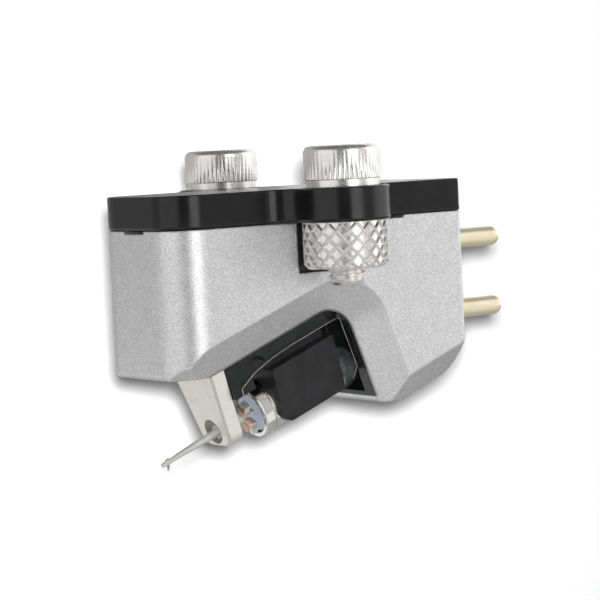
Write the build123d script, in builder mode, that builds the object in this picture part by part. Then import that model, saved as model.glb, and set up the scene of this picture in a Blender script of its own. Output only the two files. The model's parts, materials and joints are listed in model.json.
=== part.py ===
import os
from math import cos, radians, sin

from build123d import *

os.makedirs("parts", exist_ok=True)

# Millimetres. The origin lies on the top face, halfway between the two mounting holes.
# +Z is up, the stylus end is at -Y, the contact pins are at +Y.

# Fits between pieces
seat_gap = 0.05
thread_gap = 0.02
press_gap = 0.01
wire_gap = 0.12

# Mounting plate
screw_spacing = 12.7
nose_length = 10.5
tail_length = 10.35
body_width = 8.7
nose_radius = 2.2
tail_radius = 0.25
plate_thickness = 2.0
plate_top_edge = 0.1
plate_under_edge = 0.2
ear_radius = 2.7
ear_bar_width = 1.8
ear_blend = 1.5

# Screws and thumb nuts
thread_diameter = 2.2
hole_diameter = 2.7
head_diameter = 4.5
head_height = 2.46
head_edge = 0.4
collar_diameter = 4.3
collar_height = 0.5
head_seat_diameter = 4.8
head_seat_depth = 0.05
socket_width = 2.0
socket_depth = 1.25
screw_reach = 5.7
screw_end_chamfer = 0.25
nut_diameter = 5.0
nut_height = 2.7
nut_chamfer = 0.25

# Housing shell
side_wall = 1.35
nose_wall = 1.4
foot_depth = 10.6
foot_edge = 0.25
window_width = 4.0
window_height = 2.97
seam_height = 0.16
seam_front_width = 2.2
seam_side_start = 2.7
seam_side_end = 5.9
facet_side, facet_front, facet_under = 0.633, -0.17, -0.755
facet_y, facet_z = -8.3, -9.77
facet_size = 12.0

# Tilted generator slot: lengths run back along the generator axis, heights square to it
tilt = 21.0
nose_to_axis = 4.815
axis_front_z = -14.299
slot_roof = 4.17
slot_rear = 9.73
slot_apex_radius = 1.8
slot_bevel = 2.0
bevel_apex_radius = 3.8
slot_reach = 9.0
heel_depth = 13.3
heel_under = -3.33
heel_radius = 2.0
heel_front_radius = 0.5
heel_floor = -2.23
heel_bevel_top = -1.68
heel_bevel_drop = 1.75
heel_bevel_run = 9.0
heel_bevel_round = 0.4

# Black inner carrier
keel_width = 4.0
keel_under = 3.02
keel_front_under = 1.82
keel_front_end = 2.65
notch_radius = 0.62
notch_depth = 0.7
notch_back = 3.3
notch_up = 2.95
rear_pocket_width = 4.1
rear_pocket_end = 11.4
rear_pocket_under = -1.95
tunnel_radius = 0.36
tunnel_setback = 7.585
tunnel_level = -8.17
chamber_length = 1.6
chamber_width = 6.0
chamber_top = -2.6
chamber_under = -9.2

# Terminal block and contact pins
block_width = 6.8
block_inset = 0.15
block_thickness = 2.0
block_under = -9.3
pin_diameter = 1.2
pin_length = 4.37
pin_tip_radius = 0.5
pin_spacing = 5.0
pin_upper = -3.8
pin_lower = -8.15
tail_diameter = 0.8
tail_stub = 0.5

# Magnet, yoke and pole pieces
front_thickness = 1.0
front_under = -0.86
front_top = 5.1
front_low_width = 2.78
front_high_width = 4.45
front_corner = 0.85
front_edge = 0.13
front_hole_radius = 0.8
front_hole_up = 0.14
yoke_width = 2.4
yoke_end = 8.8
magnet_width = 4.0
magnet_top = 2.27
magnet_under = -1.13
magnet_front_top = 4.13
magnet_front_under = 3.7
magnet_rear_top = 8.97
magnet_rear_under = 8.52
magnet_corner = 0.6
magnet_edge = 0.08
tube_radius = 1.65
tube_front = 2.75
tube_rim = 0.08
groove_front = 3.46
groove_rear = 3.58
groove_radius = 1.5
tube_shoulder = 4.3
neck_radius = 0.85
neck_end = 9.15
mouth_radius = 1.35
mouth_depth = 0.75
bush_radius = 0.35
bush_end = 6.2
rear_pole_radius = 1.4
rear_pole_down = 0.42
rear_pole_dome = 1.05
rear_pole_length = 1.6

# Suspension and moving system
damper_front = 2.98
damper_thickness = 0.44
damper_radius = 1.28
damper_hole_radius = 0.2
tie_wire_radius = 0.05
tie_wire_entry = 0.13
tie_wire_end = 6.0
lock_screw_radius = 0.25
lock_screw_back = 3.94
lock_screw_sink = 0.06
lock_slot_width = 0.1
lock_slot_depth = 0.15
armature_middle = 2.2
armature_thickness = 0.4
arm_width = 0.5
arm_waist = 0.24
arm_length = 1.26
arm_angle = 45.0
arm_bore_depth = 0.2
hub_radius = 0.28
coil_inner = 0.3
coil_outer = 0.92
winding_inner = 0.06
winding_outer = 0.11
joint_radius = 0.42
joint_front = 0.2
cantilever_root = 1.4
cantilever_root_radius = 0.25
cantilever_taper_start = 0.0
cantilever_taper_end = -3.2
cantilever_tip_radius = 0.14
paddle_start = -2.9
paddle_end = -4.0
paddle_rise = -0.04
paddle_thickness = 0.26
paddle_width = 0.34
stylus_back = -3.55
stylus_shank_radius = 0.09
stylus_shank_rise = 0.2
stylus_shank_drop = 0.26
stylus_reach = 0.53
stylus_tip_radius = 0.02

# Coil leads: points across, back and up in the generator, then across, Y and Z behind the carrier
lead_radius = 0.018
lead_bend = 0.2
lead_across = 2.06
pair_across = 2.167
drop_across = 2.43
upper_lead_start = ((1.0, 2.2, 1.05), (lead_across, 1.62, 1.72), (lead_across, 1.698, 2.259))
upper_lead_rise = ((lead_across, 2.92, 2.716), (lead_across, 4.449, 2.962))
upper_lead_run = ((lead_across, 6.115, 3.058), (lead_across, 9.45, 3.08))
upper_turn_gap = 1.25
lower_lead_start = ((1.107, 2.14, 1.09), (pair_across, 1.558, 1.757), (pair_across, 1.636, 2.297))
lower_lead_rise = ((pair_across, 2.858, 2.753), (pair_across, 4.385, 2.999))
lower_lead_run = ((pair_across, 6.05, 3.095), (drop_across, 9.56, 3.18))
lower_lead_drop = ((drop_across, 9.55, -0.14), (2.1, 9.2, -0.82), (1.72, 9.5, -1.1))
lower_lead_back = ((1.7, 11.0, -1.0), (1.7, 11.1, 2.2))
lower_exit_setback = 10.885
lower_turn_gap = 1.5
lead_bend_room = 0.5
edge_reach = 0.01

# Sizes that follow from the ones above
body_half = body_width / 2
slot_half = body_half - side_wall
carrier_half = slot_half - seat_gap
pin_half = pin_spacing / 2
head_seat = -head_seat_depth
nose_inside = -nose_length + nose_wall
carrier_nose = nose_inside + seat_gap
axis_front_y = nose_to_axis - nose_length
tunnel_front = axis_front_y + tunnel_setback
lower_lead_exit = axis_front_y + lower_exit_setback
block_rear = tail_length - block_inset
block_front = block_rear - block_thickness
tail_front = block_front - tail_stub
chamber_front = block_front - chamber_length
upper_lead_turn = block_front - upper_turn_gap
lower_lead_turn = block_front - lower_turn_gap
carrier_rear = block_front - seat_gap
carrier_floor = heel_floor + seat_gap
tie_wire_front = armature_middle + armature_thickness / 2 - tie_wire_entry
screw_points = ((-screw_spacing / 2, 0), (screw_spacing / 2, 0))
pin_points = ((pin_half, pin_upper), (pin_half, pin_lower), (-pin_half, pin_upper), (-pin_half, pin_lower))
lean_cos = cos(radians(tilt))
lean_sin = sin(radians(tilt))

# One diagonal of the armature, narrow at the middle and wide at the ends
arm_half_outline = (
    (coil_inner, -arm_waist / 2),
    (coil_outer, -arm_width / 2),
    (arm_length, -arm_width / 2),
    (arm_length, arm_width / 2),
    (coil_outer, arm_width / 2),
    (coil_inner, arm_waist / 2),
)
arm_outline = arm_half_outline + tuple((-x, -y) for x, y in arm_half_outline)

# Planes and points of the tilted generator
axis_front = Vector(0, axis_front_y, axis_front_z)
axis_back = Vector(0, lean_cos, lean_sin)
axis_up = Vector(0, -lean_sin, lean_cos)
side_plane = Plane(origin=axis_front, x_dir=axis_back, z_dir=(1, 0, 0))
generator_axis = Axis(axis_front, axis_back)


def generator_point(across, back, up):
    return axis_front + Vector(across, 0, 0) + axis_back * back + axis_up * up


def cross_plane(back):
    return Plane(origin=generator_point(0, back, 0), x_dir=(1, 0, 0), z_dir=-axis_back)


def side_point(back, up):
    point = generator_point(0, back, up)
    return (point.Y, point.Z)


def tilt_at_y(up, y):
    return side_point((y - axis_front_y + up * lean_sin) / lean_cos, up)


def tilt_at_z(up, z):
    return side_point((z - axis_front_z - up * lean_cos) / lean_sin, up)


def wall_at_z(back, z):
    return side_point(back, (z - axis_front_z - back * lean_sin) / lean_cos)


def generator_route(side, points):
    return [generator_point(side * across, back, up) for across, back, up in points]


def on_heel_bevel(edge):
    # the edge where a side meets the heel's bevel
    middle = edge.center()
    height = (middle - generator_point(0, 0, 0)).dot(axis_up)
    return abs(abs(middle.X) - body_half) < edge_reach and abs(height - heel_bevel_top) < edge_reach


def upper_lead_route(side):
    route = generator_route(side, upper_lead_start + upper_lead_rise + upper_lead_run)
    route.append(Vector(side * lead_across, upper_lead_turn, route[-1].Z))
    route.append(Vector(side * pin_half, upper_lead_turn, pin_upper))
    route.append(Vector(side * pin_half, tail_front - lead_radius, pin_upper))
    return route


def lower_lead_route(side):
    points = lower_lead_start + lower_lead_rise + lower_lead_run + lower_lead_drop + lower_lead_back
    route = generator_route(side, points)
    route.append(Vector(side * lead_across, lower_lead_exit, tunnel_level))
    route.append(Vector(side * lead_across, lower_lead_turn, tunnel_level))
    route.append(Vector(side * pin_half, lower_lead_turn + lead_bend_room, pin_lower))
    route.append(Vector(side * pin_half, tail_front - lead_radius, pin_lower))
    return route


# Mounting plate with two ears
with BuildPart() as top_plate:
    with BuildSketch(Plane.XY.offset(-plate_thickness)) as plate_outline:
        with Locations((0, (tail_length - nose_length) / 2)):
            Rectangle(body_width, nose_length + tail_length)
        fillet(plate_outline.vertices().group_by(Axis.Y)[0], nose_radius)
        fillet(plate_outline.vertices().group_by(Axis.Y)[-1], tail_radius)
        with Locations(*screw_points):
            Circle(ear_radius)
        Rectangle(screw_spacing, ear_bar_width)
        offset(amount=ear_blend, mode=Mode.REPLACE)
        offset(amount=-ear_blend, mode=Mode.REPLACE)
    extrude(amount=plate_thickness)
    fillet(top_plate.edges().group_by(Axis.Z)[0], plate_under_edge)
    fillet(top_plate.edges().group_by(Axis.Z)[-1], plate_top_edge)
    with Locations(*screw_points):
        CounterBoreHole(hole_diameter / 2, head_seat_diameter / 2, head_seat_depth)
top_plate.part.label = "top_plate"
export_step(top_plate.part, "parts/top_plate.step")

# Two cap screws
with BuildPart() as mounting_screws:
    with BuildSketch(Plane.XY.offset(head_seat)):
        with Locations(*screw_points):
            Circle(collar_diameter / 2)
    extrude(amount=collar_height)
    with BuildSketch(Plane.XY.offset(head_seat + collar_height)):
        with Locations(*screw_points):
            Circle(head_diameter / 2)
    extrude(amount=head_height - collar_height)
    fillet(mounting_screws.edges().group_by(Axis.Z)[-1], head_edge)
    with BuildSketch(Plane.XY.offset(head_seat)):
        with Locations(*screw_points):
            Circle(thread_diameter / 2)
    extrude(amount=head_seat_depth - screw_reach)
    chamfer(mounting_screws.edges().group_by(Axis.Z)[0], screw_end_chamfer)
    with BuildSketch(Plane.XY.offset(head_seat + head_height)):
        with Locations(*screw_points):
            RegularPolygon(socket_width / 2, 6, major_radius=False)
    extrude(amount=-socket_depth, mode=Mode.SUBTRACT)
mounting_screws.part.label = "mounting_screws"
export_step(mounting_screws.part, "parts/mounting_screws.step")

# Two round thumb nuts under the ears
with BuildPart() as thumb_nuts:
    with BuildSketch(Plane.XY.offset(-plate_thickness)):
        with Locations(*screw_points):
            Circle(nut_diameter / 2)
        with Locations(*screw_points):
            Circle(thread_diameter / 2 + thread_gap, mode=Mode.SUBTRACT)
    extrude(amount=-nut_height)
    chamfer(thumb_nuts.edges().group_by(Axis.Z)[0].group_by(SortBy.RADIUS)[-1], nut_chamfer)
thumb_nuts.part.label = "thumb_nuts"
export_step(thumb_nuts.part, "parts/thumb_nuts.step")

# Housing shell with the bevelled slot, the nut windows and the seat of the terminal block
with BuildPart() as housing:
    with BuildSketch(Plane.XY.offset(-plate_thickness)) as body_outline:
        with Locations((0, (tail_length - nose_length) / 2)):
            Rectangle(body_width, nose_length + tail_length)
        fillet(body_outline.vertices().group_by(Axis.Y)[0], nose_radius)
        fillet(body_outline.vertices().group_by(Axis.Y)[-1], tail_radius)
    extrude(amount=plate_thickness - heel_depth)
    with BuildSketch(Plane.YZ):
        with BuildLine():
            FilletPolyline(
                (-nose_length, -plate_thickness),
                (tail_length, -plate_thickness),
                tilt_at_y(heel_under, tail_length),
                tilt_at_z(heel_under, -heel_depth),
                wall_at_z(slot_rear, -heel_depth),
                side_point(slot_rear, slot_roof),
                tilt_at_z(slot_roof, -foot_depth),
                (-nose_length + foot_edge, -foot_depth),
                (-nose_length, -foot_depth + foot_edge),
                radius=(0, 0, heel_radius, 0, heel_front_radius, slot_apex_radius, 0, 0, 0),
                close=True,
            )
        make_face()
    extrude(amount=body_half, both=True, mode=Mode.INTERSECT)
    for side in (1, -1):
        with BuildSketch(side_plane.offset(side * slot_half)):
            with BuildLine():
                FilletPolyline(
                    (-slot_reach, -slot_reach),
                    (slot_rear, -slot_reach),
                    (slot_rear, slot_roof),
                    (-slot_reach, slot_roof),
                    radius=(0, 0, slot_apex_radius, 0),
                    close=True,
                )
            make_face()
        with BuildSketch(side_plane.offset(side * body_half)):
            with BuildLine():
                FilletPolyline(
                    (-slot_reach, -slot_reach),
                    (slot_rear + slot_bevel, -slot_reach),
                    (slot_rear + slot_bevel, slot_roof + slot_bevel),
                    (-slot_reach, slot_roof + slot_bevel),
                    radius=(0, 0, bevel_apex_radius, 0),
                    close=True,
                )
            make_face()
        loft(ruled=True, mode=Mode.SUBTRACT)
        facet_normal = (side * facet_side, facet_front, facet_under)
        with BuildSketch(Plane(origin=(side * body_half, facet_y, facet_z), z_dir=facet_normal)):
            Rectangle(facet_size, facet_size)
        extrude(amount=facet_size, mode=Mode.SUBTRACT)
        with BuildSketch(cross_plane(slot_rear)):
            with BuildLine():
                Polyline(
                    (side * (body_half + side_wall), heel_bevel_top + heel_bevel_drop),
                    (side * (body_half - 2 * side_wall), heel_bevel_top - 2 * heel_bevel_drop),
                    (side * (body_half + side_wall), heel_bevel_top - 2 * heel_bevel_drop),
                    close=True,
                )
            make_face()
        extrude(amount=-heel_bevel_run, mode=Mode.SUBTRACT)
    heel_edges = housing.edges().filter_by(on_heel_bevel)
    fillet(heel_edges, heel_bevel_round)
    with BuildSketch(Plane.YZ):
        with BuildLine():
            Polyline(
                (nose_inside, -plate_thickness),
                (block_front, -plate_thickness),
                tilt_at_y(heel_floor, block_front),
                side_point(slot_rear, heel_floor),
                side_point(slot_rear - slot_apex_radius, slot_roof - slot_apex_radius),
                (nose_inside, -heel_depth),
                close=True,
            )
        make_face()
    extrude(amount=slot_half, both=True, mode=Mode.SUBTRACT)
    with BuildSketch(Plane.XZ.offset(-block_front)):
        with Locations((0, -plate_thickness)):
            Rectangle(
                block_width + 2 * seat_gap,
                -block_under - plate_thickness + seat_gap,
                align=(Align.CENTER, Align.MAX),
            )
    extrude(amount=block_front - tail_length, mode=Mode.SUBTRACT)
    with BuildSketch(Plane.YZ):
        with Locations((0, -plate_thickness)):
            Rectangle(window_width, window_height, align=(Align.CENTER, Align.MAX))
        with Locations((seam_side_start, -plate_thickness)):
            Rectangle(seam_side_end - seam_side_start, seam_height, align=(Align.MIN, Align.MAX))
    extrude(amount=body_half, both=True, mode=Mode.SUBTRACT)
    with BuildSketch(Plane.XZ.offset(nose_length)):
        with Locations((0, -plate_thickness)):
            Rectangle(seam_front_width, seam_height, align=(Align.CENTER, Align.MAX))
    extrude(amount=-nose_wall, mode=Mode.SUBTRACT)
housing.part.label = "housing"
export_step(housing.part, "parts/housing.step")

# Black carrier that fills the housing and holds the generator
with BuildPart() as generator_carrier:
    with BuildSketch(Plane.YZ):
        with BuildLine():
            FilletPolyline(
                (carrier_nose, -plate_thickness),
                (carrier_rear, -plate_thickness),
                tilt_at_y(carrier_floor, carrier_rear),
                side_point(slot_rear, carrier_floor),
                side_point(slot_rear, slot_roof),
                tilt_at_z(slot_roof, -foot_depth + seat_gap),
                (carrier_nose, -foot_depth + seat_gap),
                radius=(0, 0, 0, 0, slot_apex_radius, 0, 0),
                close=True,
            )
        make_face()
    extrude(amount=carrier_half, both=True)
    with BuildSketch(side_plane):
        with BuildLine():
            Polyline(
                (front_thickness + seat_gap, slot_roof + slot_bevel),
                (front_thickness + seat_gap, keel_front_under),
                (keel_front_end, keel_front_under),
                (keel_front_end, keel_under),
                (rear_pocket_end, keel_under),
                (rear_pocket_end, slot_roof + slot_bevel),
                close=True,
            )
        make_face()
    extrude(amount=keel_width / 2, both=True)
    for side in (1, -1):
        with BuildSketch(side_plane.offset(side * keel_width / 2)):
            with Locations((notch_back, notch_up)):
                Circle(notch_radius)
        extrude(amount=-side * notch_depth, mode=Mode.SUBTRACT)
    with BuildSketch(cross_plane(-seat_gap)):
        with Locations((0, front_under)):
            Rectangle(
                front_high_width + 2 * seat_gap,
                front_top - front_under + seat_gap,
                align=(Align.CENTER, Align.MIN),
            )
    extrude(amount=-(front_thickness + 2 * seat_gap), mode=Mode.SUBTRACT)
    with BuildSketch(cross_plane(front_thickness)):
        with Locations((0, keel_under)):
            Rectangle(yoke_width + 2 * seat_gap, keel_under - magnet_top, align=(Align.CENTER, Align.MAX))
    extrude(amount=front_thickness - keel_front_end, mode=Mode.SUBTRACT)
    with BuildSketch(cross_plane(slot_rear - seat_gap)):
        with Locations((0, keel_under)):
            Rectangle(rear_pocket_width, keel_under - rear_pocket_under, align=(Align.CENTER, Align.MAX))
    extrude(amount=slot_rear - seat_gap - rear_pocket_end, mode=Mode.SUBTRACT)
    with BuildSketch(Plane.XZ.offset(-tunnel_front)):
        with Locations((-lead_across, tunnel_level), (lead_across, tunnel_level)):
            Circle(tunnel_radius)
    extrude(amount=tunnel_front - carrier_rear, mode=Mode.SUBTRACT)
    with BuildSketch(Plane.XZ.offset(-chamber_front)):
        with Locations((0, chamber_top)):
            Rectangle(chamber_width, chamber_top - chamber_under, align=(Align.CENTER, Align.MAX))
    extrude(amount=chamber_front - carrier_rear, mode=Mode.SUBTRACT)
generator_carrier.part.label = "generator_carrier"
export_step(generator_carrier.part, "parts/generator_carrier.step")

# Insulating block at the rear, with a hole for the tail of each pin
with BuildPart() as terminal_block:
    with BuildSketch(Plane.XZ.offset(-block_front)):
        with Locations((0, -plate_thickness)):
            Rectangle(block_width, -block_under - plate_thickness, align=(Align.CENTER, Align.MAX))
        with Locations(*pin_points):
            Circle(tail_diameter / 2 + press_gap, mode=Mode.SUBTRACT)
    extrude(amount=block_front - block_rear)
terminal_block.part.label = "terminal_block"
export_step(terminal_block.part, "parts/terminal_block.step")

# Contact pins: a thin tail through the block and a round-ended pin behind it
with BuildPart() as contact_pin_upper_left:
    with BuildSketch(Plane.XZ.offset(-tail_front)):
        with Locations((pin_half, pin_upper)):
            Circle(tail_diameter / 2)
    extrude(amount=tail_front - block_rear)
    with BuildSketch(Plane.XZ.offset(-block_rear)):
        with Locations((pin_half, pin_upper)):
            Circle(pin_diameter / 2)
    extrude(amount=-pin_length)
    fillet(contact_pin_upper_left.edges().group_by(Axis.Y)[-1], pin_tip_radius)
contact_pin_upper_left.part.label = "contact_pin_upper_left"
export_step(contact_pin_upper_left.part, "parts/contact_pin_upper_left.step")

with BuildPart() as contact_pin_lower_left:
    with BuildSketch(Plane.XZ.offset(-tail_front)):
        with Locations((pin_half, pin_lower)):
            Circle(tail_diameter / 2)
    extrude(amount=tail_front - block_rear)
    with BuildSketch(Plane.XZ.offset(-block_rear)):
        with Locations((pin_half, pin_lower)):
            Circle(pin_diameter / 2)
    extrude(amount=-pin_length)
    fillet(contact_pin_lower_left.edges().group_by(Axis.Y)[-1], pin_tip_radius)
contact_pin_lower_left.part.label = "contact_pin_lower_left"
export_step(contact_pin_lower_left.part, "parts/contact_pin_lower_left.step")

with BuildPart() as contact_pin_upper_right:
    with BuildSketch(Plane.XZ.offset(-tail_front)):
        with Locations((-pin_half, pin_upper)):
            Circle(tail_diameter / 2)
    extrude(amount=tail_front - block_rear)
    with BuildSketch(Plane.XZ.offset(-block_rear)):
        with Locations((-pin_half, pin_upper)):
            Circle(pin_diameter / 2)
    extrude(amount=-pin_length)
    fillet(contact_pin_upper_right.edges().group_by(Axis.Y)[-1], pin_tip_radius)
contact_pin_upper_right.part.label = "contact_pin_upper_right"
export_step(contact_pin_upper_right.part, "parts/contact_pin_upper_right.step")

with BuildPart() as contact_pin_lower_right:
    with BuildSketch(Plane.XZ.offset(-tail_front)):
        with Locations((-pin_half, pin_lower)):
            Circle(tail_diameter / 2)
    extrude(amount=tail_front - block_rear)
    with BuildSketch(Plane.XZ.offset(-block_rear)):
        with Locations((-pin_half, pin_lower)):
            Circle(pin_diameter / 2)
    extrude(amount=-pin_length)
    fillet(contact_pin_lower_right.edges().group_by(Axis.Y)[-1], pin_tip_radius)
contact_pin_lower_right.part.label = "contact_pin_lower_right"
export_step(contact_pin_lower_right.part, "parts/contact_pin_lower_right.step")

# Front pole plate with the hole that the cantilever passes through
with BuildPart() as front_pole_plate:
    with BuildSketch(cross_plane(0)):
        with BuildLine():
            FilletPolyline(
                (-front_low_width / 2, front_under),
                (front_low_width / 2, front_under),
                (front_high_width / 2, front_top),
                (-front_high_width / 2, front_top),
                radius=(front_corner, front_corner, 0, 0),
                close=True,
            )
        make_face()
    extrude(amount=-front_thickness)
    chamfer(front_pole_plate.faces().sort_by(generator_axis)[0].edges(), front_edge)
    with BuildSketch(cross_plane(0)):
        with Locations((0, front_hole_up)):
            Circle(front_hole_radius)
    extrude(amount=-front_thickness, mode=Mode.SUBTRACT)
front_pole_plate.part.label = "front_pole_plate"
export_step(front_pole_plate.part, "parts/front_pole_plate.step")

# Bar that joins the front pole plate to the magnet's top
with BuildPart() as yoke_bar:
    with BuildSketch(cross_plane(front_thickness)):
        with Locations((0, magnet_top)):
            Rectangle(yoke_width, keel_under - magnet_top, align=(Align.CENTER, Align.MIN))
    extrude(amount=front_thickness - yoke_end)
yoke_bar.part.label = "yoke_bar"
export_step(yoke_bar.part, "parts/yoke_bar.step")

# Magnet block with a seat and a bore for the tube
with BuildPart() as magnet:
    with BuildSketch(side_plane):
        with BuildLine():
            FilletPolyline(
                (magnet_front_under, magnet_under),
                (magnet_rear_under, magnet_under),
                (magnet_rear_top, magnet_top),
                (magnet_front_top, magnet_top),
                radius=(magnet_corner, magnet_edge, magnet_edge, magnet_edge),
                close=True,
            )
        make_face()
    extrude(amount=magnet_width / 2, both=True)
    with BuildSketch(cross_plane(tube_front)):
        Circle(tube_radius + press_gap)
    extrude(amount=tube_front - tube_shoulder, mode=Mode.SUBTRACT)
    with BuildSketch(cross_plane(tube_front)):
        Circle(neck_radius + press_gap)
    extrude(amount=tube_front - neck_end, mode=Mode.SUBTRACT)
magnet.part.label = "magnet"
export_step(magnet.part, "parts/magnet.step")

# Pole tube: a wide mouth for the damper, a groove, and a neck through the magnet
with BuildPart() as pole_tube:
    with BuildSketch(side_plane):
        with BuildLine():
            Polyline(
                (tube_front, mouth_radius),
                (tube_front, tube_radius),
                (groove_front, tube_radius),
                (groove_front, groove_radius),
                (groove_rear, groove_radius),
                (groove_rear, tube_radius),
                (tube_shoulder, tube_radius),
                (tube_shoulder, neck_radius),
                (neck_end, neck_radius),
                (neck_end, 0),
                (bush_end, 0),
                (bush_end, bush_radius),
                (tube_front + mouth_depth, bush_radius),
                (tube_front + mouth_depth, mouth_radius),
                close=True,
            )
        make_face()
    revolve(axis=generator_axis)
    fillet(pole_tube.faces().sort_by(generator_axis)[0].edges(), tube_rim)
    with BuildSketch(Plane(origin=generator_point(0, lock_screw_back, 0), z_dir=-axis_up)):
        Circle(lock_screw_radius + press_gap)
    extrude(amount=tube_radius, mode=Mode.SUBTRACT)
pole_tube.part.label = "pole_tube"
export_step(pole_tube.part, "parts/pole_tube.step")

# Domed rear pole behind the magnet
with BuildPart() as rear_pole:
    with BuildSketch(cross_plane(neck_end)):
        with Locations((0, -rear_pole_down)):
            Circle(rear_pole_radius)
    extrude(amount=-rear_pole_length)
    fillet(rear_pole.edges().sort_by(generator_axis)[-1], rear_pole_dome)
rear_pole.part.label = "rear_pole"
export_step(rear_pole.part, "parts/rear_pole.step")

# Bush that grips the tie wire in the tube
with BuildPart() as wire_bush:
    with BuildSketch(cross_plane(tube_front + mouth_depth)):
        Circle(bush_radius - press_gap)
        Circle(tie_wire_radius + press_gap, mode=Mode.SUBTRACT)
    extrude(amount=tube_front + mouth_depth - bush_end)
wire_bush.part.label = "wire_bush"
export_step(wire_bush.part, "parts/wire_bush.step")

# Slotted lock screw that presses on the bush from below
with BuildPart() as tie_wire_screw:
    with BuildSketch(Plane(origin=generator_point(0, lock_screw_back, -bush_radius), z_dir=-axis_up)):
        Circle(lock_screw_radius)
    extrude(amount=tube_radius - bush_radius - lock_screw_sink)
    screw_face = generator_point(0, lock_screw_back, lock_screw_sink - tube_radius)
    with BuildSketch(Plane(origin=screw_face, x_dir=(1, 0, 0), z_dir=axis_up)):
        Rectangle(2 * lock_screw_radius, lock_slot_width)
    extrude(amount=lock_slot_depth, mode=Mode.SUBTRACT)
tie_wire_screw.part.label = "tie_wire_screw"
export_step(tie_wire_screw.part, "parts/tie_wire_screw.step")

# Tie wire from the bush to the armature
with BuildPart() as tie_wire:
    with BuildSketch(cross_plane(tie_wire_front)):
        Circle(tie_wire_radius)
    extrude(amount=tie_wire_front - tie_wire_end)
tie_wire.part.label = "tie_wire"
export_step(tie_wire.part, "parts/tie_wire.step")

# Rubber damper in the tube's mouth
with BuildPart() as damper_ring:
    with BuildSketch(cross_plane(damper_front)):
        Circle(damper_radius)
        Circle(damper_hole_radius, mode=Mode.SUBTRACT)
    extrude(amount=-damper_thickness)
damper_ring.part.label = "damper_ring"
export_step(damper_ring.part, "parts/damper_ring.step")

# Armature: a cross of four arms with a bore for the tie wire
with BuildPart() as armature:
    with BuildSketch(cross_plane(armature_middle)):
        Polygon(*arm_outline, rotation=arm_angle, align=None)
        Polygon(*arm_outline, rotation=-arm_angle, align=None)
        Circle(hub_radius)
    extrude(amount=armature_thickness / 2, both=True)
    with BuildSketch(cross_plane(armature_middle + armature_thickness / 2)):
        Circle(tie_wire_radius + wire_gap)
    extrude(amount=arm_bore_depth, mode=Mode.SUBTRACT)
armature.part.label = "armature"
export_step(armature.part, "parts/armature.step")

# Windings, one channel on each diagonal of the cross
with BuildPart() as coil_left_channel:
    for side in (1, -1):
        arm_out = (Vector(1, 0, 0) + axis_up) * (side / 2**0.5)
        arm_root = generator_point(0, armature_middle, 0)
        with BuildSketch(Plane(origin=arm_root + arm_out * coil_inner, x_dir=axis_back, z_dir=arm_out)):
            Rectangle(armature_thickness + 2 * winding_inner, arm_waist + 2 * winding_inner)
        with BuildSketch(Plane(origin=arm_root + arm_out * coil_outer, x_dir=axis_back, z_dir=arm_out)):
            Rectangle(armature_thickness + 2 * winding_outer, arm_width + 2 * winding_outer)
        loft(ruled=True)
        with BuildSketch(Plane(origin=arm_root + arm_out * coil_inner, x_dir=axis_back, z_dir=arm_out)):
            Rectangle(armature_thickness, arm_waist)
        with BuildSketch(Plane(origin=arm_root + arm_out * coil_outer, x_dir=axis_back, z_dir=arm_out)):
            Rectangle(armature_thickness, arm_width)
        loft(ruled=True, mode=Mode.SUBTRACT)
coil_left_channel.part.label = "coil_left_channel"
export_step(coil_left_channel.part, "parts/coil_left_channel.step")

with BuildPart() as coil_right_channel:
    for side in (1, -1):
        arm_out = (Vector(1, 0, 0) - axis_up) * (side / 2**0.5)
        arm_root = generator_point(0, armature_middle, 0)
        with BuildSketch(Plane(origin=arm_root + arm_out * coil_inner, x_dir=axis_back, z_dir=arm_out)):
            Rectangle(armature_thickness + 2 * winding_inner, arm_waist + 2 * winding_inner)
        with BuildSketch(Plane(origin=arm_root + arm_out * coil_outer, x_dir=axis_back, z_dir=arm_out)):
            Rectangle(armature_thickness + 2 * winding_outer, arm_width + 2 * winding_outer)
        loft(ruled=True)
        with BuildSketch(Plane(origin=arm_root + arm_out * coil_inner, x_dir=axis_back, z_dir=arm_out)):
            Rectangle(armature_thickness, arm_waist)
        with BuildSketch(Plane(origin=arm_root + arm_out * coil_outer, x_dir=axis_back, z_dir=arm_out)):
            Rectangle(armature_thickness, arm_width)
        loft(ruled=True, mode=Mode.SUBTRACT)
coil_right_channel.part.label = "coil_right_channel"
export_step(coil_right_channel.part, "parts/coil_right_channel.step")

# Joint tube between armature and cantilever
with BuildPart() as cantilever_collar:
    with BuildSketch(cross_plane(joint_front)):
        Circle(joint_radius)
    extrude(amount=joint_front - armature_middle + armature_thickness / 2)
    with BuildSketch(cross_plane(joint_front)):
        Circle(cantilever_root_radius + press_gap)
    extrude(amount=joint_front - cantilever_root - press_gap, mode=Mode.SUBTRACT)
cantilever_collar.part.label = "cantilever_collar"
export_step(cantilever_collar.part, "parts/cantilever_collar.step")

# Cantilever: a tapered tube with a flattened, slightly raised end
with BuildPart() as cantilever:
    with BuildSketch(side_plane):
        with BuildLine():
            Polyline(
                (cantilever_root, 0),
                (cantilever_root, cantilever_root_radius),
                (cantilever_taper_start, cantilever_root_radius),
                (cantilever_taper_end, cantilever_tip_radius),
                (cantilever_taper_end, 0),
                close=True,
            )
        make_face()
    revolve(axis=generator_axis)
    with BuildSketch(side_plane):
        with BuildLine():
            Polyline(
                (paddle_start, -paddle_thickness / 2),
                (paddle_end, paddle_rise - paddle_thickness / 2),
                (paddle_end, paddle_rise + paddle_thickness / 2),
                (paddle_start, paddle_thickness / 2),
                close=True,
            )
        make_face()
    extrude(amount=paddle_width / 2, both=True)
    with BuildSketch(Plane(origin=generator_point(0, stylus_back, 0))):
        Circle(stylus_shank_radius + press_gap)
    extrude(amount=stylus_shank_rise, both=True, mode=Mode.SUBTRACT)
cantilever.part.label = "cantilever"
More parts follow.
